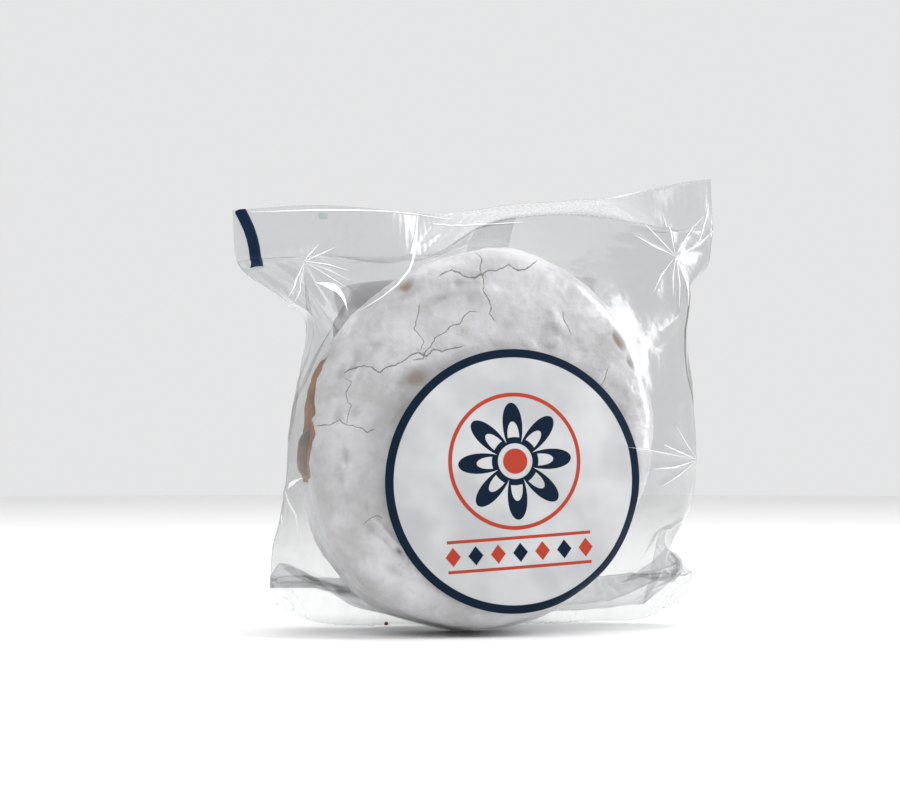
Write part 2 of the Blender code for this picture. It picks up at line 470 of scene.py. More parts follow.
def thin_spots():
    """All uneven places of the front: the brown spots, dents and drops by turns round the upper
    left rim, and shallow drops near the top. A place of less than no depth stands out. The dents
    are painted grey by their depth: painted shade in the hollows, besides thinner glaze."""
    rng = np.random.default_rng(17)
    spots = list(BROWN_SPOTS)
    for k in range(RIM_DENTS):
        angle = math.radians(rng.uniform(95, 245))
        reach = rng.uniform(24.0, 30.0)
        depth = rng.uniform(0.25, 0.5) * (1 if k % 2 else -1)
        spots.append((reach * math.cos(angle), reach * math.sin(angle), rng.uniform(1.0, 2.8), rng.uniform(0.5, 0.9),
                      angle + math.pi / 2, depth, min(0.38, max(0.0, 1.1 * depth))))
    for k in range(TOP_DROPS):
        spots.append((rng.uniform(0, 20), rng.uniform(15, 26), rng.uniform(0.9, 2.4), rng.uniform(0.7, 1.3),
                      rng.uniform(0, 3), rng.uniform(-0.6, -0.3), 0.0))
    return spots


def near_line(x, z, corners):
    """Distance from points to a line of corners, the least over its straight stretches, and the
    side on which they lie of the nearest stretch, 1 or -1."""
    least, side = np.full(x.shape, 1e9), np.ones(x.shape)
    for (x0, z0), (x1, z1) in zip(corners, corners[1:]):
        length2 = (x1 - x0) ** 2 + (z1 - z0) ** 2
        part = np.clip(((x - x0) * (x1 - x0) + (z - z0) * (z1 - z0)) / length2, 0, 1)
        distance = np.hypot(x - x0 - part * (x1 - x0), z - z0 - part * (z1 - z0))
        turned = np.where((x1 - x0) * (z - z0) - (z1 - z0) * (x - x0) < 0, -1, 1)
        side = np.where(distance < least, turned, side)
        least = np.minimum(least, distance)
    return least, side


def square_to_disc(count):
    """Even grid over a disc: a square's grid pushed out so that each square ring becomes a circle.
    Gives the share of the radius and the angle of each point."""
    a, b = np.meshgrid(np.linspace(-1, 1, count), np.linspace(-1, 1, count))
    wide = np.abs(a) >= np.abs(b)
    share = np.where(wide, np.abs(a), np.abs(b))
    first = np.divide(b, a, out=np.zeros_like(a), where=wide & (a != 0))
    second = np.divide(a, b, out=np.zeros_like(a), where=~wide)
    angle = np.where(wide, np.pi / 4 * first + np.where(a < 0, np.pi, 0.0),
                     np.pi / 2 - np.pi / 4 * second + np.where(b < 0, np.pi, 0.0))
    return share, np.mod(angle, 2 * np.pi)


def glaze_shell(name, side, count, seed):
    """Glaze on one face: over the face, round the shoulder and down the side by its skirt. The
    biscuit's form is moved out by the glaze's thickness; side is -1 for the front and 1 for the
    back. The thickness is lumps at four sizes, less cracks and thin spots. Each point keeps its
    signed distance to the nearest crack and that crack's width, so that cracks stay hairlines."""
    share, angle = square_to_disc(count)
    radius = outline(angle) - GLAZE
    bare = bare_share(angle, 1.0 if side < 0 else 1.8)
    drip = lumps(radius * angle, 0 * angle, 3.0, seed)
    short = bare_skirt(angle, side)
    skirt = MEETING + (short + (0.2 if side < 0 else 0.7) * drip - MEETING) * bare
    face, bend = radius - SHOULDER, SHOULDER * np.pi / 2
    run = share * (face + bend + skirt)
    turn = np.clip((run - face) / SHOULDER, 0, np.pi / 2)
    out = np.minimum(run, face) + SHOULDER * np.sin(turn)
    deep = SHOULDER * (1 - np.cos(turn)) + np.maximum(run - face - bend, 0)
    deep = deep + FACE_DOME * np.minimum(out / face, 1.2) ** 2
    x, z = out * np.cos(angle), out * np.sin(angle)
    wrap = deep * 1.3
    thick = GLAZE + 0.20 * lumps(x + wrap, z, 9.0, seed + 1) + 0.15 * lumps(x, z + wrap, 4.1, seed + 2)
    thick = thick + 0.13 * lumps(x + wrap, z + wrap, 1.9, seed + 3)
    rough_rim = np.clip((out - 0.62 * radius) / (0.3 * radius), 0, 1)
    thick = thick + (0.04 + 0.06 * rough_rim) * lumps(x - wrap, z, 0.75, seed + 4)
    nearest, across, cracked, brown = np.full_like(x, 1e9), np.ones_like(x), np.zeros_like(x), np.zeros_like(x)
    if side < 0:
        for number, (start_x, start_z, heading, length, width) in enumerate(CRACKS):
            distance, beside = near_line(x, z, wandering(start_x, start_z, heading, length, 100 + number))
            near = distance < nearest
            nearest, across = np.where(near, distance, nearest), np.where(near, distance * beside, across)
            cracked = np.where(near, width * np.exp(-((distance / 0.7) ** 4)), cracked)
        for spot_x, spot_z, wide, high, lie, depth, brownness in thin_spots():
            along = (x - spot_x) * math.cos(lie) + (z - spot_z) * math.sin(lie)
            over = (z - spot_z) * math.cos(lie) - (x - spot_x) * math.sin(lie)
            edge = 0.35 * lumps(x, z, 1.2, seed + 7)
            spot = np.exp(-(((along / wide) ** 2 + (over / high) ** 2) * (1 + edge)) ** 1.4)
            thick = thick - depth * spot
            brown = np.maximum(brown, brownness * spot)
    thick = thick - 0.7 * cracked * np.exp(-((nearest / 0.4) ** 2))
    reach = np.clip((face + bend + skirt - run) / 0.9, 0, 1)
    thick = thick * np.sqrt(reach) - 0.5 * (1 - reach) ** 2
    push_out, push_deep = np.sin(turn), -np.cos(turn)
    out = out + thick * push_out
    deep = deep + (thick - GLAZE) * push_deep
    y = side * (BISCUIT_THICK / 2 - deep)
    points = stand(out * np.cos(angle), y, out * np.sin(angle))
    piece = put_mesh(name, points, grid_faces(count, count), inside=stand(0, 0, 0))
    for label, values in (("crack_side", np.clip(across, -1, 1)), ("crack_width", cracked), ("brown", brown)):
        layer = piece.data.attributes.new(label, "FLOAT", "POINT")
        layer.data.foreach_set("value", values.ravel())
    return piece


def sugar_glaze():
    """Dried glaze: cool white, greyer where it is thin, brown where the biscuit shines through;
    grey in the rim dents is painted shade in the hollows as well as thin glaze; half glossy, with fine pores."""
    finish = Finish("dried sugar glaze")
    place = finish.place()
    crack_side = finish.add("ShaderNodeAttribute", {"attribute_name": "crack_side"}).of("Fac")
    crack_width = finish.add("ShaderNodeAttribute", {"attribute_name": "crack_width"}).of("Fac")
    brown = finish.add("ShaderNodeAttribute", {"attribute_name": "brown"}).of("Fac")
    clouds = finish.noise(place, 110.0, 4.0, 0.6)
    freckles = finish.noise(place, 420.0, 3.0, 0.6)
    pores = finish.noise(place, 1900.0, 2.0, 0.6)
    waver = 0.5 * (finish.noise(place, 1300.0, 2.0, 0.6) - 0.5)
    crack = (crack_width * 0.62 - (crack_side + waver).size()).ramp(-0.04, 0.04)
    white = finish.mix(clouds.ramp(0.26, 0.70), (0.46, 0.445, 0.445, 1), (0.74, 0.73, 0.76, 1))
    white = finish.mix(freckles.ramp(0.55, 0.74) * 0.5, white, (0.47, 0.44, 0.42, 1))
    # grey for low shares, which in the rim dents is painted shade; brown where the biscuit shines through
    stain_and_painted_shade = finish.mix(brown.ramp(0.35, 0.70), (0.20, 0.18, 0.17, 1), (0.22, 0.12, 0.07, 1))
    stained = finish.mix(brown.least(1.0), white, stain_and_painted_shade)
    finish.feed(finish.shader, {
        "Base Color": finish.mix(crack * 0.85, stained, (0.12, 0.10, 0.09, 1)),
        "Roughness": 0.22 + 0.25 * freckles,
        "Subsurface Weight": 0.08,
        "Subsurface Scale": 0.0015,
        "Subsurface Radius": (1.0, 0.9, 0.85),
        "Normal": finish.bump(pores * 0.3 + freckles * 0.7, 0.26),
    })
    return finish.material


dried_glaze = sugar_glaze()
front_glaze = glaze_shell("glaze_front", -1, 300, 51)
back_glaze = glaze_shell("glaze_back", 1, 200, 71)
for piece in (front_glaze, back_glaze):
    piece.data.materials.append(dried_glaze)
    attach(piece, "root")

# ---------------------------------------------------------------------------------------------
# The film. A tube of clear polypropylene, welded flat across its head and foot, with air shut in.
# It is taken from the flat tube into its place round the biscuit by relaxing it: each stretch of
# film pulls towards its length, stays out of the biscuit and off the table; the welds stay shut.
# ---------------------------------------------------------------------------------------------

TUBE_WIDTH = 88.5              # the tube pressed flat
TUBE_LENGTH = 112.0
WELD = 9.5                     # height of the welded bands
FILM_GAP = 0.3                 # least distance of the film from the biscuit

# The side folds, left and right: x at the foot, along the body, at the neck and the neck's height.
LEFT_SIDE = (-36.5, -33.5, -30.0, 55.0)
RIGHT_SIDE = (45.0, 44.5, 40.5, 62.0)
PINCH = 7.0                    # the right side is pinched in this deep, at this height
PINCH_HEIGHT = 16.0
SEAL_LINE = 67.0               # the folds reach the ends of the head weld here
HEAD_LEFT_Z = 76.2             # the head weld's cut edge: level on the left, then rising to the right
HEAD_RISE = 6.8
HEAD_RISE_FROM = -4.0
TIP_MOST = 1.3                 # the head weld tips back most round here
TIP_MIDDLE = 14.0
TIP_REACH = 21.0
FOOT_MIDDLE = 5.7              # the foot weld stands behind the biscuit, in waves, its ends lifted
FOOT_REACH = 39.8
FOOT_TIP = 0.30
FOOT_LIFT = 3.8
WALL_SLANT = 0.22              # the back film is narrower than the front, by this much a depth
SIDE_TAKE_UP = 0.14            # share of the length that fine puckers take up along the side folds


def smooth(share):
    """A step from 0 to 1 with level ends."""
    share = np.clip(share, 0, 1)
    return share * share * (3 - 2 * share)


def fold_x(height, side):
    """x of the left (side 0) or right side fold at a height: foot, body, neck and flare joined by
    smooth steps; the right one is pinched in low down."""
    foot, body, neck, neck_height = (LEFT_SIDE, RIGHT_SIDE)[side]
    seal = (SEAL_LEFT, SEAL_RIGHT)[side]
    x = foot + (body - foot) * smooth((height - 12) / 14) + (neck - body) * smooth((height - 32) / (neck_height - 32))
    x = x + (seal - neck) * smooth((height - neck_height) / (SEAL_LINE - neck_height))
    return x - side * PINCH * np.exp(-(((height - PINCH_HEIGHT) / 4.0) ** 2))


def head_edge(x):
    """Height of the head weld's cut edge, and how far the weld tips back there, in radians."""
    rise = HEAD_RISE * np.clip((x - HEAD_RISE_FROM) / (SEAL_RIGHT - HEAD_RISE_FROM), 0, 1)
    return HEAD_LEFT_Z + rise + 0.5 * np.sin(x / 6.0), TIP_MOST * np.exp(-(((x - TIP_MIDDLE) / TIP_REACH) ** 4))


def weld_targets(step, columns):
    """Rows of places for the head weld, from its cut edge down, and the foot weld, from its cut
    edge up. The head follows its edge and tips back; the foot follows a waved line in plan."""
    rows = int(round(WELD / step)) + 1
    down = (np.arange(rows) * step)[:, None]
    spot = np.arange(columns)
    share = np.where(spot < columns // 2, 2 * spot / columns, 2 - 2 * spot / columns)[None]
    x = SEAL_LEFT + (SEAL_RIGHT - SEAL_LEFT) * share
    edge, tip = head_edge(x)
    wave = 1.0 + 1.2 * np.sin(x / 9.0 + 0.5)
    head = np.stack([x + 0 * down, wave + (WELD - down) * np.sin(tip), edge - down * np.cos(tip)], axis=-1)
    plan = np.linspace(-1, 1, 801)
    ripple = 1.3 * np.sin(13 * plan + 0.6) * (1 - plan ** 2) + np.sin(7 * plan + 2)
    plan_x = FOOT_MIDDLE + FOOT_REACH * plan
    plan_y = 16.0 + 2.5 * plan ** 2 - 7.0 * np.maximum(plan, 0) ** 3 + ripple
    walked = np.concatenate([[0], np.cumsum(np.hypot(np.diff(plan_x), np.diff(plan_y)))])
    at = share * walked[-1]
    foot_x, foot_y = np.interp(at, walked, plan_x), np.interp(at, walked, plan_y)
    to_end = FOOT_REACH - np.abs(foot_x - FOOT_MIDDLE)
    low = np.exp(-((to_end / 6.0) ** 2)) * (1 - down / WELD)
    foot = np.stack([foot_x - 1.5 * low * np.sign(foot_x - FOOT_MIDDLE), foot_y - down * math.sin(FOOT_TIP),
                     0.25 + down * math.cos(FOOT_TIP) + FOOT_LIFT * low], axis=-1)
    return head, foot


def flat_start(rows, columns):
    """The tube before it settles: straight down, a lens in section, flat at both welds."""
    share = np.arange(columns) / columns
    front = share < 0.5
    wide = 2 * np.where(front, 2 * share, 2 - 2 * share)[None] - 1
    along = np.linspace(0, 1, rows)[:, None]
    fat = np.sin(np.clip(np.minimum(along, 1 - along) * TUBE_LENGTH - WELD, 0, 22) / 22 * np.pi / 2)
    x = (TUBE_WIDTH / 2 - 7 * fat) * wide + 3 * fat
    y = np.where(front, -1, 1)[None] * fat * (BISCUIT_THICK / 2 + 1.5) * np.clip(1.6 - 1.6 * np.abs(wide) ** 3, 0, 1)
    top = head_edge(x)[0]
    z = -WELD - 1 + along * (78 + WELD + 1) + (top - 78) * along ** 3
    return np.stack([x, y, z + 0 * x], axis=-1) + np.random.default_rng(5).normal(0, 0.12, (rows, columns, 3))


def outward(sheet):
    """Unit normals of the tube's grid: the cross product of its two directions."""
    across = np.roll(sheet, -1, axis=1) - np.roll(sheet, 1, axis=1)
    normal = np.cross(across, np.gradient(sheet, axis=0))
    return normal / (np.linalg.norm(normal, axis=-1, keepdims=True) + 1e-9)


def draw_together(first, second, rest, strength):
    """Moves two arrays of points towards the distance rest between them, half the way each."""
    apart = second - first
    length = np.linalg.norm(apart, axis=-1, keepdims=True) + 1e-9
    move = 0.5 * strength * (1 - rest / length) * apart
    first += move
    second -= move


def keep_lengths(sheet, across, along):
    """Draws neighbours round, along and diagonally to their flat distances, and points two apart
    softly, which resists sharp folds. Even and odd pairs take turns."""
    count = len(sheet)
    for shift in (0, 1):
        turned = np.roll(sheet, -shift, axis=1)
        draw_together(turned[:, 0::2], turned[:, 1::2], across, 1.0)
        sheet[:] = np.roll(turned, shift, axis=1)
        last = shift + (count - shift) // 2 * 2
        draw_together(sheet[shift:last:2], sheet[shift + 1:last:2], along, 1.0)
    for slant in (1, -1):
        for shift in (0, 1):
            last = shift + (count - shift) // 2 * 2
            upper = np.roll(sheet[shift + 1:last:2], -slant, axis=1)
            draw_together(sheet[shift:last:2], upper, np.hypot(across, along), 0.7)
            sheet[shift + 1:last:2] = np.roll(upper, slant, axis=1)
    for shift in range(4):
        turned = np.roll(sheet, -shift, axis=1)
        draw_together(turned[:, 0::4], turned[:, 2::4], 2 * across, 0.05)
        sheet[:] = np.roll(turned, shift, axis=1)
        last = shift + (count - shift) // 4 * 4
        draw_together(sheet[shift:last:4], sheet[shift + 2:last:4], 2 * along, 0.05)


def keep_off_biscuit(sheet):
    """Pushes points out of the standing biscuit along its surface's normal. The distance is that
    to a disc with rounded shoulders on the outline."""
    x, height, back = sheet[..., 0] - BISCUIT_X, sheet[..., 2] - BISCUIT_MIDDLE, sheet[..., 1]
    y = back * math.cos(LEAN) - height * math.sin(LEAN)
    z = back * math.sin(LEAN) + height * math.cos(LEAN)
    radius, angle = np.hypot(x, z) + 1e-9, np.arctan2(z, x)
    over_rim = radius - outline(angle) + SHOULDER
    over_face = np.abs(y) - BISCUIT_THICK / 2 + SHOULDER
    rim_part, face_part = np.maximum(over_rim, 0), np.maximum(over_face, 0)
    corner = np.hypot(rim_part, face_part)
    distance = corner + np.minimum(np.maximum(over_rim, over_face), 0) - SHOULDER
    push = np.maximum(FILM_GAP - distance, 0)
    inner = corner < 1e-6
    to_rim = np.where(inner, over_rim > over_face, rim_part / np.maximum(corner, 1e-6))
    to_face = np.where(inner, over_rim <= over_face, face_part / np.maximum(corner, 1e-6)) * np.sign(y)
    move_y, move_z = push * to_face, push * to_rim * z / radius
    sheet[..., 0] += push * to_rim * x / radius
    sheet[..., 1] += move_y * math.cos(LEAN) + move_z * math.sin(LEAN)
    sheet[..., 2] += move_z * math.cos(LEAN) - move_y * math.sin(LEAN)


def settle(sheet, rounds, air, weight, hold):
    """Relaxes the tube: each round carries on its motion, adds air pressure and weight, eases the
    welds and side folds to their places, then mends lengths, contacts and welds twice. Beside the
    biscuit the film goes straight up from the foot weld, so it keeps over a rising ground there."""
    count, columns = sheet.shape[:2]
    across, along = 2 * TUBE_WIDTH / columns, TUBE_LENGTH / (count - 1)
    mirror = -np.arange(columns) % columns
    head, foot = weld_targets(along, columns)
    spread = np.abs(np.abs(2 * np.arange(columns) / columns - 1) * 2 - 1)
    along = (along * (1 - SIDE_TAKE_UP * spread ** 2))[:, None]
    band = len(head)
    body = slice(band, count - band)
    right = columns // 2
    drift = np.zeros_like(sheet)
    for _ in range(rounds):
        before = sheet.copy()
        sheet += 0.9 * drift + air * outward(sheet)
        sheet[..., 2] -= weight
        sheet[-band:] += hold * (head[::-1] - sheet[-band:])
        sheet[:band] += hold * (foot - sheet[:band])
        for _ in range(2):
            keep_lengths(sheet, across, along)
            keep_off_biscuit(sheet)
            for weld in (slice(0, band), slice(count - band, count)):
                sheet[weld] = (sheet[weld] + sheet[weld][:, mirror]) / 2
            sheet[..., 2] = np.maximum(sheet[..., 2], 0.1)
            to_side = np.clip((np.abs(sheet[body, :, 0] - FOOT_MIDDLE) - 18) / 16, 0, 1)
            ground = 0.1 + 8.2 * to_side * to_side * (3 - 2 * to_side)
            sheet[body, :, 2] += 0.3 * np.maximum(ground - sheet[body, :, 2], 0)
            closed = np.maximum(0.3 - (sheet[body, mirror, 1] - sheet[body, :, 1]), 0) / 2
            closed[:, right:] = 0
            closed[:, 0] = 0
            sheet[body, :, 1] -= closed
            sheet[body, :, 1] += closed[:, mirror]
            for column, side in ((0, 0), (right, 1)):
                target = fold_x(sheet[body, column, 2], side)
                sheet[body, column, 0] += 0.1 * (target - sheet[body, column, 0])
            height, depth = sheet[body, :, 2], sheet[body, :, 1]
            left_wall = fold_x(height, 0) + WALL_SLANT * np.maximum(depth, 0)
            right_wall = fold_x(height, 1) + WALL_SLANT * np.minimum(depth, 0)
            sheet[body, :, 0] += 0.3 * np.maximum(left_wall - sheet[body, :, 0], 0)
            sheet[body, :, 0] -= 0.3 * np.maximum(sheet[body, :, 0] - right_wall, 0)
        drift = np.clip(sheet - before, -0.6, 0.6)
    return sheet


def finer(sheet):
    """Twice as many points each way, new ones on a cubic through their four neighbours."""
    beside = (9 * (sheet + np.roll(sheet, -1, 1)) - np.roll(sheet, 1, 1) - np.roll(sheet, -2, 1)) / 16
    wide = np.stack([sheet, beside], axis=2).reshape(len(sheet), -1, 3)
    more = np.concatenate([2 * wide[:1] - wide[1:2], wide, 2 * wide[-1:] - wide[-2:-1]])
    between = (9 * (more[1:-2] + more[2:-1]) - more[:-3] - more[3:]) / 16
    tall = np.empty((2 * len(wide) - 1, *wide.shape[1:]))
    tall[0::2], tall[1::2] = wide, between
    return tall


def blown_film():
    """The settled tube, relaxed on three grids, each twice as fine as the one before."""
    rounds = ((500, 300, 120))
    sheet = settle(flat_start(53, 88), rounds[0], 0.010, 0.0, 0.05)
    sheet = settle(finer(sheet), rounds[1], 0.003, 0.0003, 0.05)
    return settle(finer(sheet), rounds[2], 0.001, 0.0002, 0.05)


# The film gathers at these knots, and folds fan out from them: x and height, first and last
# heading in degrees, number of folds and their usual length.
LEFT_NECK = (LEFT_SIDE[2] - 0.5, LEFT_SIDE[3] + 11)
RIGHT_NECK = (RIGHT_SIDE[2] - 3.0, RIGHT_SIDE[3] + 6)
RIGHT_WAIST = (RIGHT_SIDE[1] - 1.0, 2 * PINCH_HEIGHT - 1)
LEFT_WAIST = (LEFT_SIDE[1], 26.0)
FANS = [
    (LEFT_NECK, -110, 40, 8, 9.0),
    (RIGHT_NECK, 20, 160, 5, 8.0),
    (RIGHT_NECK, -140, -60, 4, 8.0),
    (RIGHT_WAIST, 140, 215, 5, 14.0),
    (LEFT_WAIST, -110, -60, 3, 9.0),
]
# The long fold from the head weld down over the biscuit's left shoulder: its ends and its sag.
LONG_FOLD = ((-9, 76), (-22, 57), 3.5)


def fan(knot, first, last, count, length, seed):
    """Lines of three corners from a knot, at headings spread evenly and shaken a little."""
    rng = np.random.default_rng(seed)
    lines = []
    for heading in np.radians(np.linspace(first, last, count) + rng.uniform(-8, 8, count)):
        reach, bend = length * rng.uniform(0.5, 1.3), rng.uniform(-0.25, 0.25)
        lines.append([
            (knot[0] + part * reach * math.cos(heading + bend * part),
             knot[1] + part * reach * math.sin(heading + bend * part)) for part in (0.05, 0.55, 1.0)])
    return lines


def sagging(start, end, sag, count=7):
    """Line from start to end whose middle sags square to it."""
    part = np.linspace(0, 1, count)
    run_x, run_z = end[0] - start[0], end[1] - start[1]
    off = sag * np.sin(np.pi * part) / math.hypot(run_x, run_z)
    return list(zip(start[0] + part * run_x - off * run_z, start[1] + part * run_z + off * run_x))


def fold_lines():
    """Every fold line of the front: the fans and the long fold."""
    lines = [sagging(*LONG_FOLD)]
    for number, (knot, first, last, count, length) in enumerate(FANS):
        lines += fan(knot, first, last, count, length, 60 + number)
    return lines


def add_folds(sheet):
    """Raises ridges along the fold lines on the front: a tent of the given height and width."""
    normal = outward(sheet)
    half = sheet.shape[1] // 2
    x, z = sheet[:, :half, 0], sheet[:, :half, 2]
    rise = np.zeros_like(x)
    for corners in fold_lines():
        waver = 0.5 * lumps(x, z, 3.0, 91)
        rise = np.maximum(rise, 0.45 * np.exp(-near_line(x + waver, z, corners)[0] / 1.4))
    sheet[:, :half] += rise[..., None] * normal[:, :half]
    return sheet


def crumple(sheet):
    """Flat-sided dents: the difference of the distances to the two nearest of many scattered
    points, so that the film breaks into facets; weaker where the film lies on the biscuit."""
    count, columns = sheet.shape[:2]
    flat_x = np.arange(columns) * 2 * TUBE_WIDTH / columns
    flat_z = np.arange(count) * TUBE_LENGTH / (count - 1)
    seeds = np.random.default_rng(7).uniform((0, 0), (2 * TUBE_WIDTH, TUBE_LENGTH), (100, 2))
    near = np.full((2, count, columns), 1e9)
    for seed_x, seed_z in seeds:
        gap_x = np.abs(flat_x - seed_x)
        gap_x = np.minimum(gap_x, 2 * TUBE_WIDTH - gap_x)[None]
        distance = np.hypot(gap_x, (flat_z - seed_z)[:, None])
        near[1] = np.minimum(near[1], np.maximum(near[0], distance))
        near[0] = np.minimum(near[0], distance)
    dent = np.clip(near[1] - near[0], 0, 5)
    radius = np.hypot(sheet[..., 0], sheet[..., 2] - BISCUIT_MIDDLE)
    free = np.clip((radius - 27) / 8, 0.12, 1)
    sheet -= (0.05 * free * dent)[..., None] * outward(sheet)
    return sheet


film = add_folds(crumple(blown_film()))
keep_off_biscuit(film)
film[..., 2] = np.maximum(film[..., 2], 0.05)
film_normal = outward(film)
film_step = TUBE_LENGTH / (len(film) - 1)
weld_rows = int(round(WELD / film_step)) + 1


def clear_film(name, tint, haze, roughness):
    """Clear film: what lies behind shows through, tinted; it mirrors more at a slant, with a haze in streaks,
    and fine wrinkles break up its reflections. Painted shade: from 6 mm to 36 mm over the table the haze grows
    thicker and greyer, darkening the film's upper part."""
    finish = Finish(name)
    place = finish.place()
    slant = finish.add("ShaderNodeLayerWeight", {}, {"Blend": 0.5}).of("Facing")
    ripples = finish.noise(place, 160.0, 3.0, 0.6)
    normal = finish.bump(ripples, 0.3)
    drawn = finish.add("ShaderNodeVectorMath", {"operation": "MULTIPLY"}, {0: place, 1: (1.0, 1.0, 0.4)})
    streaks = finish.noise(drawn, 75.0, 4.0, 0.65).ramp(0.46, 0.72)
    # painted shade: a share that rises with height, from 6 mm to 36 mm over the table
    upper = finish.add("ShaderNodeSeparateXYZ", {}, {0: place}).of("Z").ramp(0.006, 0.036)
    see = finish.add("ShaderNodeBsdfTransparent", {}, {"Color": (*tint, 1)})
    gloss = finish.add("ShaderNodeBsdfGlossy", {}, {"Color": (1, 1, 1, 1), "Roughness": roughness, "Normal": normal})
    # painted shade: the haze goes from light near the table to grey higher up
    painted_grey_haze = finish.mix(upper, (0.74, 0.745, 0.745, 1), (0.38, 0.38, 0.385, 1))
    finish.feed(finish.shader, {"Base Color": painted_grey_haze, "Roughness": 0.5, "Normal": normal})
    dull = Value(finish, finish.shader.outputs["BSDF"])
    haze_with_painted_shade = haze + 0.07 * streaks + 0.17 * slant ** 3 + 0.07 * upper
    hazy = finish.add("ShaderNodeMixShader", {}, {0: haze_with_painted_shade, 1: see, 2: dull})
    mirror = 0.05 + 0.85 * slant ** 5
    whole = finish.add("ShaderNodeMixShader", {}, {0: mirror, 1: hazy, 2: gloss})
    finish.tree.links.new(whole.socket, finish.end.inputs["Surface"])
    return finish.material


def merge_seams(piece):
    """Joins points that lie on each other, so that the tube is closed at its welds."""
    import bmesh
    work = bmesh.new()
    work.from_mesh(piece.data)
    bmesh.ops.remove_doubles(work, verts=work.verts, dist=1e-6)
    work.to_mesh(piece.data)
    work.free()


bag_film = put_mesh("bag_film", film[weld_rows - 1:len(film) - weld_rows + 1],
                    grid_faces(len(film) - 2 * weld_rows + 2, film.shape[1], closed=True),
                    inside=(0, 0, BISCUIT_MIDDLE))
merge_seams(bag_film)
bag_film.data.materials.append(clear_film("clear film", (0.85, 0.855, 0.855), 0.015, 0.2))
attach(bag_film, "root")
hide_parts("bag")

# ---------------------------------------------------------------------------------------------
# The welds. Head and foot of the tube, two layers of film welded into one band by ribbed jaws,
# and the back seam, where the film's long edges are welded and the flap is pressed down flat.
# ---------------------------------------------------------------------------------------------

RIB_PITCH = 1.15
RIB_HEIGHT = 0.06
BAND_THICK = 0.12
BACK_SEAM_MIDDLE = 3.3
BACK_SEAM_WIDTH = 8.0


def on_film(across, along, back, lift):
    """Points on the film by flat place: across from -1 to 1 between the side folds, along in
    millimetres from the foot's cut edge, back 1 for the back layer; lift is off the film. The
    place is blended from the grid's four nearest points."""
    columns = film.shape[1]
    spot = (across + 1) / 4 * columns
    spot = np.mod(columns - spot if back else spot, columns)
    row = np.clip(along / film_step, 0, len(film) - 1.001)
    i, j = np.floor(row).astype(int), np.floor(spot).astype(int)
    s, t = (row - i)[..., None], (spot - j)[..., None]
    j, k = j % columns, (j + 1) % columns
    blended = []
    for layer in (film, film_normal):
        low = layer[i, j] * (1 - t) + layer[i, k] * t
        high = layer[i + 1, j] * (1 - t) + layer[i + 1, k] * t
        blended.append(low * (1 - s) + high * s)
    return blended[0] + lift * blended[1]


def thin_sheet(grid, thick):
    """Points and faces of a closed thin sheet: a grid of points moved half its thickness to either
    side along the grid's normals, joined all round its edge."""
    rows, columns = grid.shape[:2]
    normal = np.cross(np.gradient(grid, axis=1), np.gradient(grid, axis=0))
    normal /= np.linalg.norm(normal, axis=-1, keepdims=True) + 1e-12
    points = np.concatenate([(grid - thick / 2 * normal).reshape(-1, 3), (grid + thick / 2 * normal).reshape(-1, 3)])
    faces = grid_faces(rows, columns)
    spots = np.arange(rows * columns).reshape(rows, columns)
    rim = np.concatenate([spots[0], spots[1:, -1], spots[-1, -2::-1], spots[-2:0:-1, 0]])
    after = np.roll(rim, -1)
    far = rows * columns
    edge = np.stack([rim, rim + far, after + far, after], axis=-1)
    whole = np.concatenate([faces, faces[:, ::-1] + far, edge])
    corners = points[whole]
    turned = np.cross(corners[:, 2] - corners[:, 0], corners[:, 3] - corners[:, 1])
    if np.sum(turned * corners.mean(1)) < 0:
        whole = whole[:, ::-1]
    return points, whole


def weld_band(name, start, end, faint, full):
    """Band of the tube between two flat lengths, ribbed by waves that run up and down it; the ribs
    are faint at the ends and full right of the middle."""
    across, along = np.meshgrid(np.linspace(-0.999, 0.999, 620), np.linspace(start, end, 12))
    grid = on_film(across, along, False, 0.0)
    normal = np.cross(np.gradient(grid, axis=1), np.gradient(grid, axis=0))
    normal /= np.linalg.norm(normal, axis=-1, keepdims=True) + 1e-12
    deep = np.interp(grid[..., 0], (2, 8, 26, 31), (faint, full, full, faint))
    ribs = deep * np.sin(across * TUBE_WIDTH / 2 / RIB_PITCH * 2 * np.pi)
    return put_mesh(name, *thin_sheet(grid + ribs[..., None] * normal, BAND_THICK))


def back_seam():
    """Flap of the back seam: a strip up the back from weld to weld, just off the film."""
    half = BACK_SEAM_WIDTH / TUBE_WIDTH
    middle = 2 * BACK_SEAM_MIDDLE / TUBE_WIDTH
    across, along = np.meshgrid(np.linspace(middle - half, middle + half, 24),
                                np.linspace(WELD, TUBE_LENGTH - WELD, 260))
    ribs = 0.06 * np.sin(along / 0.9 * 2 * np.pi) * (np.abs(across - middle) < 0.8 * half)
    return put_mesh("back_seam", *thin_sheet(on_film(across, along, True, 0.22 + ribs[..., None]), 0.08))


welded_film = clear_film("welded film", (0.90, 0.905, 0.905), 0.03, 0.33)
head_weld = weld_band("head_weld", TUBE_LENGTH - WELD - 0.2, TUBE_LENGTH - 0.05, 0.02, RIB_HEIGHT)
foot_weld = weld_band("foot_weld", 0.05, WELD + 0.2, 0.02, 0.04)
seam_flap = back_seam()
for piece in (head_weld, foot_weld, seam_flap):
    piece.data.materials.append(welded_film)
    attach(piece, "root")

# ---------------------------------------------------------------------------------------------
# The creases. Along thin raised lines where the film was folded hard, white ribbons are painted highlights for the
# folds' reflections (creased film also whitens a little), and
# # the two side folds carry short dark ribbons, painted dark reflections where the film is doubled back on itself.
# ---------------------------------------------------------------------------------------------

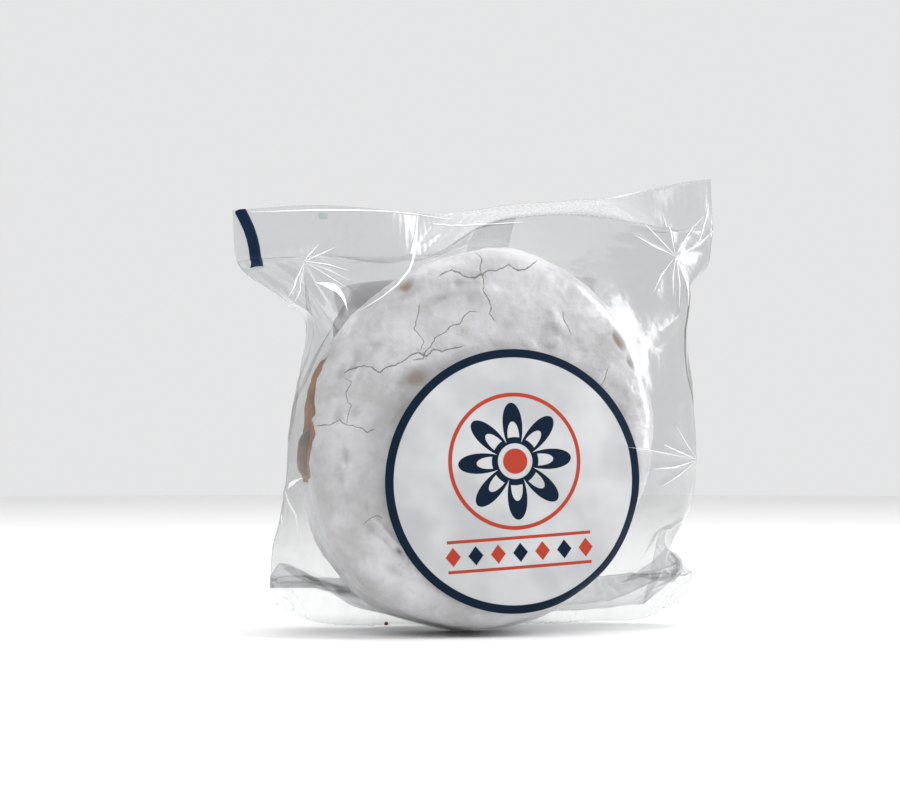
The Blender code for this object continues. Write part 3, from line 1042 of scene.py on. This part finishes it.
# Painted highlights along parts of the head weld's lower line and the small tuck at the left waist, and
# # painted dark reflections where a side fold lies doubled: strength, start, end, sag and width.
PAINTED_HIGHLIGHT_EDGES = [(0.9, (-40, 75), (-2, 75), 0.6, 0.28), (0.6, (-7, 74), (10, 74), -0.4, 0.25),
               (0.7, (45, 78), (42, 70), 0.5, 0.20), (0.7, (-33, 26), (-31, 28), 0.3, 0.6)]
PAINTED_DARK_STRIPS = [(0.60, (40, 62), (43, 41), -2.0, 0.4), (0.15, (42, 54), (43, 40), -1.0, 1.2),
               (0.15, (-32, 52), (-33, 34), 0.4, 1.6)]
# Painted highlight: a white patch where the film mirrors a light on the left shoulder.
PAINTED_GLINT = (0.9, (-29, 62), (-24, 57), 1.6, 1.3)   # the film mirrors a light on the left shoulder


def tapered(strength, corners, width):
    """A line for film_lines: it starts and ends in a point and is widest a third of the way."""
    part = np.linspace(0, 1, len(corners))
    widths = width * np.minimum(part / 0.33, (1 - part) / 0.67)
    return strength, [(x, z, wide) for (x, z), wide in zip(corners, widths)]


def painted_highlight_lines():
    """Painted highlights: the long fold, the glint, the white edges and each fan's folds, the fans' folds at random
    strengths.
    """
    lines = [tapered(1.0, sagging(*LONG_FOLD), 0.32)]
    for strength, start, end, sag, width in (PAINTED_GLINT, *PAINTED_HIGHLIGHT_EDGES):
        lines.append(tapered(strength, sagging(start, end, sag), width))
    rng = np.random.default_rng(5)
    for corners in fold_lines()[1:]:
        lines.append(tapered(rng.uniform(0.15, 1.0), corners, rng.uniform(0.15, 0.35)))
    return lines


# Painted dark reflections along the doubled side folds.
def painted_dark_lines():
    return [tapered(strength, sagging(start, end, sag), width) for strength, start, end, sag, width in PAINTED_DARK_STRIPS]


def front_place(x, z):
    """Flat places, across and along, of the points of the front film at x and a height. A guess
    is moved by what it misses, over and over."""
    across, along = 2 * x / TUBE_WIDTH, z + 22.0
    for _ in range(40):
        found = on_film(across, along, False, 0.0)
        across = np.clip(across + 0.7 * 2 * (x - found[..., 0]) / TUBE_WIDTH, -0.99, 0.99)
        along = np.clip(along + 0.7 * (z - found[..., 2]), 0, TUBE_LENGTH)
    return across, along


def film_lines(name, lines, lift, thick):
    """Thin ribbons on the front film along lines of corners, as wide as each corner says; each
    point keeps its line's strength."""
    points, faces, strengths, count = [], [], [], 0
    for strength, corners in lines:
        x, z, width = np.array(corners, float).T
        walked = np.concatenate([[0], np.cumsum(np.hypot(np.diff(x), np.diff(z)))])
        at = np.linspace(0, walked[-1], 60)
        x, z, width = (np.interp(at, walked, column) for column in (x, z, width))
        lean = np.arctan2(np.gradient(z), np.gradient(x)) + np.pi / 2
        side = np.linspace(-0.5, 0.5, 7)[:, None] * (width + 0.03)
        grid = on_film(*front_place(x + side * np.cos(lean), z + side * np.sin(lean)), False, lift)
        ribbon, sides = thin_sheet(grid, thick)
        points.append(ribbon)
        faces.append(sides + count)
        strengths.append(np.full(len(ribbon), strength))
        count += len(ribbon)
    piece = put_mesh(name, np.concatenate(points), np.concatenate(faces))
    layer = piece.data.attributes.new("strength", "FLOAT", "POINT")
    layer.data.foreach_set("value", np.concatenate(strengths))
    return piece


def painted_crease_film(name, colour):
    """Film painted one colour along a fold, as far as its strength says, clear for the rest: white for painted
    highlights, dark for painted dark reflections.
    """
    finish = Finish(name)
    strength = finish.add("ShaderNodeAttribute", {"attribute_name": "strength"}).of("Fac")
    see = finish.add("ShaderNodeBsdfTransparent", {}, {"Color": (1, 1, 1, 1)})
    finish.feed(finish.shader, {"Base Color": (*colour, 1), "Roughness": 0.35})
    shown = Value(finish, finish.shader.outputs["BSDF"])
    whole = finish.add("ShaderNodeMixShader", {}, {0: strength * 0.9, 1: see, 2: shown})
    finish.tree.links.new(whole.socket, finish.end.inputs["Surface"])
    return finish.material


# Painted highlights: white ribbons along the folds.
painted_crease_highlights = film_lines("painted_crease_highlights", painted_highlight_lines(), 0.12, 0.06)
painted_crease_highlights.data.materials.append(painted_crease_film("painted crease highlight", (0.95, 0.95, 0.95)))
# Painted dark reflections: dark ribbons where the side folds lie doubled.
painted_dark_reflections = film_lines("painted_dark_reflections", painted_dark_lines(), 0.08, 0.02)
painted_dark_reflections.data.materials.append(painted_crease_film("painted dark fold reflection", (0.085, 0.09, 0.065)))
for piece in (painted_crease_highlights, painted_dark_reflections):
    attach(piece, "root")

# ---------------------------------------------------------------------------------------------
# The print. Ink on the film: a white disc inside a navy ring with a plain ornament, a navy
# cutting mark over the head's left end and a small pale green register mark.
# ---------------------------------------------------------------------------------------------

DISC_RADIUS = 23.1
DISC_X = 4.9
DISC_HEIGHT = 27.4
DISC_TILT = math.radians(3.7)
RING_WIDTH = 1.5

# The two marks: the cutting mark's ends, sag and width, and the register mark's corners.
CUTTING_MARK = ((-41.5, 75.5), (-38.5, 65.0), 0.8, 2.0)
REGISTER_MARK = [(-27.5, 74.5, 0.9), (-26, 74.5, 0.9)]


def flat_disc(name):
    """Disc of ink on the front film, as rings round its middle, with a UV map in millimetres that
    is turned by the disc's tilt."""
    turn = np.linspace(0, 2 * np.pi, 260, endpoint=False)[None]
    ring = DISC_RADIUS * np.linspace(0.0, 1.0, 110)[:, None]
    flat_x, flat_z = ring * np.cos(turn - DISC_TILT), ring * np.sin(turn - DISC_TILT)
    places = front_place(DISC_X + ring * np.cos(turn), DISC_HEIGHT + ring * np.sin(turn))
    points = on_film(*places, False, 0.08)
    faces = grid_faces(110, 260, closed=True)
    piece = put_mesh(name, points, faces, inside=(0, 0, BISCUIT_MIDDLE))
    add_map(piece, flat_x, flat_z)
    return piece


def add_map(piece, flat_x, flat_z):
    """UV map that holds each corner's flat place in millimetres."""
    loops = np.empty(len(piece.data.loops), np.int32)
    piece.data.loops.foreach_get("vertex_index", loops)
    flat = np.stack([flat_x.ravel(), flat_z.ravel()], axis=-1)[loops]
    piece.data.uv_layers.new(name="flat").data.foreach_set("uv", flat.ravel())


def disc_ink():
    """White ink with a navy rim ring, a navy rosette of eight petals round a red heart, and a row
    of red and navy lozenges under it. Every shape is a distance in the flat map, cut at 0."""
    finish = Finish("printed disc")
    flat = finish.add("ShaderNodeUVMap", {"uv_map": "flat"})
    x = finish.add("ShaderNodeSeparateXYZ", {}, {0: flat})
    z = x.of("Y")
    radius = (x * x + z * z).root()
    soft = 0.06

    def inside(distance):
        return distance.ramp(soft, -soft)

    rim = inside((radius - (DISC_RADIUS - RING_WIDTH / 2)).size() - RING_WIDTH / 2)
    rosette_z = z - 3.5
    reach = (x * x + rosette_z * rosette_z).root()
    angle = x.maths("ARCTAN2", rosette_z, x)
    wave = (angle * 4.0).maths("COSINE", angle * 4.0).size()
    petals = inside(reach - (3.4 + 6.8 * wave)) * inside(3.1 - reach)
    hollow = inside(reach - (1.0 + 5.9 * wave)) * inside(4.2 - reach)
    heart = inside(reach - 2.2)
    ring = inside((reach - 11.6).size() - 0.35)
    row_z = (z + 12.4).size()
    step = (x.maths("MODULO", x + 34.0, 4.0) - 2.0).size()
    lozenges = inside(step + row_z * 0.8 - 1.35) * inside(x.size() - 13.9)
    which = x.maths("FRACT", (x + 38.0) / 8.0).ramp(0.499, 0.501)
    lines = inside((row_z - 2.6).size() - 0.28) * inside(x.size() - 13.0)
    navy = rim.most(petals * (1.0 - hollow)).most(lozenges * which)
    red = heart.most(ring).most(lozenges * (1.0 - which)).most(lines)
    cloud = finish.noise(finish.place(), 120.0)
    white = finish.mix(cloud.ramp(0.3, 0.7), (0.382, 0.386, 0.398, 1), (0.473, 0.477, 0.486, 1))
    coloured = finish.mix(red, white, (0.34, 0.040, 0.022, 1))
    finish.feed(finish.shader, {
        "Base Color": finish.mix(navy, coloured, (0.001, 0.008, 0.022, 1)),
        "Roughness": 0.5,
        "Specular IOR Level": 0.10,
        "Normal": finish.bump(cloud, 0.3),
    })
    return finish.material


def plain_ink(name, colour, roughness):
    """Flat ink of one colour, a little uneven in depth."""
    finish = Finish(name)
    uneven = finish.noise(finish.place(), 700.0)
    darker = tuple(0.7 * part for part in colour)
    finish.feed(finish.shader, {
        "Base Color": finish.mix(uneven, (*darker, 1), (*colour, 1)),
        "Roughness": roughness,
        "Specular IOR Level": 0.12,
    })
    return finish.material


printed_disc = flat_disc("printed_disc")
printed_disc.data.materials.append(disc_ink())
mark_start, mark_end, mark_sag, mark_width = CUTTING_MARK
mark_corners = [(x, z, mark_width) for x, z in sagging(mark_start, mark_end, mark_sag)]
cutting_mark = film_lines("cutting_mark", [(1.0, mark_corners)], 0.30, 0.04)
cutting_mark.data.materials.append(plain_ink("navy ink", (0.002, 0.014, 0.042), 0.3))
register_mark = film_lines("register_mark", [(1.0, REGISTER_MARK)], 0.26, 0.04)
register_mark.data.materials.append(plain_ink("pale green ink", (0.34, 0.45, 0.44), 0.4))
for piece in (printed_disc, cutting_mark, register_mark):
    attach(piece, "root")

# ---------------------------------------------------------------------------------------------
# The back label. A plain white sticker on the outside of the film behind the biscuit.
# ---------------------------------------------------------------------------------------------

LABEL_LEFT = -22.8
LABEL_RIGHT = 26.5
LABEL_TOP = 62.0
LABEL_HEIGHT = 36.0
PAPER_THICK = 0.1


def back_label():
    """Sheet of paper on the back film, bent as the film is."""
    half = film.shape[1] // 2
    layer = film[:, half + 2:, :]
    ends = []
    for x in (LABEL_LEFT, LABEL_RIGHT):
        gap = np.hypot(layer[..., 0] - x, layer[..., 2] - LABEL_TOP)
        row, column = np.unravel_index(np.argmin(gap), gap.shape)
        ends.append((1 - 2 * (column + 2) / half, row * film_step))
    across, down = np.meshgrid(np.linspace(ends[0][0], ends[1][0], 90), np.linspace(0, LABEL_HEIGHT, 70))
    return put_mesh("label_paper", *thin_sheet(on_film(across, ends[0][1] - down, True, 0.42), PAPER_THICK))


def label_paper():
    """Matt white paper with a faint fibre, thin enough to let some light through."""
    finish = Finish("label paper")
    fibre = finish.noise(finish.place(), 900.0, 4.0, 0.6)
    finish.feed(finish.shader, {
        "Base Color": finish.mix(fibre, (0.90, 0.89, 0.90, 1), (0.96, 0.95, 0.96, 1)),
        "Roughness": 0.62,
        "Alpha": 0.92,
        "Normal": finish.bump(fibre, 0.03),
    })
    return finish.material


sticker = back_label()
sticker.data.materials.append(label_paper())
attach(sticker, "root")
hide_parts("back_label")

# ---------------------------------------------------------------------------------------------
# Crumbs. A few bits of biscuit that came off and lie in the foot of the bag.
# ---------------------------------------------------------------------------------------------

CRUMBS = [
    (-3.6, 10.5, 0.75, 0.38), (-13.0, 12.8, 0.9, 0.35), (9.5, 12.5, 0.85, 0.35),
]


def crumbs():
    """Small rough balls, one for each place: x, y, height and radius."""
    turn = np.linspace(0, 2 * np.pi, 18, endpoint=False)[None]
    rise = np.linspace(0, np.pi, 10)[:, None]
    ball = np.stack([np.sin(rise) * np.cos(turn), np.sin(rise) * np.sin(turn), np.cos(rise) + 0 * turn], axis=-1)
    uneven = 1 + 0.25 * lumps(9 * ball[..., 0] + 4 * ball[..., 2], 9 * ball[..., 1], 5.0, 95)
    ball = ball * uneven[..., None]
    spots = np.array(CRUMBS)
    points = spots[:, None, None, :3] + spots[:, None, None, 3:] * ball[None]
    faces = grid_faces(10, 18, closed=True)[None] + (np.arange(len(spots)) * 180)[:, None, None]
    return put_mesh("crumbs", points, faces.reshape(-1, 4)[:, ::-1])


loose_crumbs = crumbs()
loose_crumbs.data.materials.append(baked_biscuit)
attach(loose_crumbs, "root")
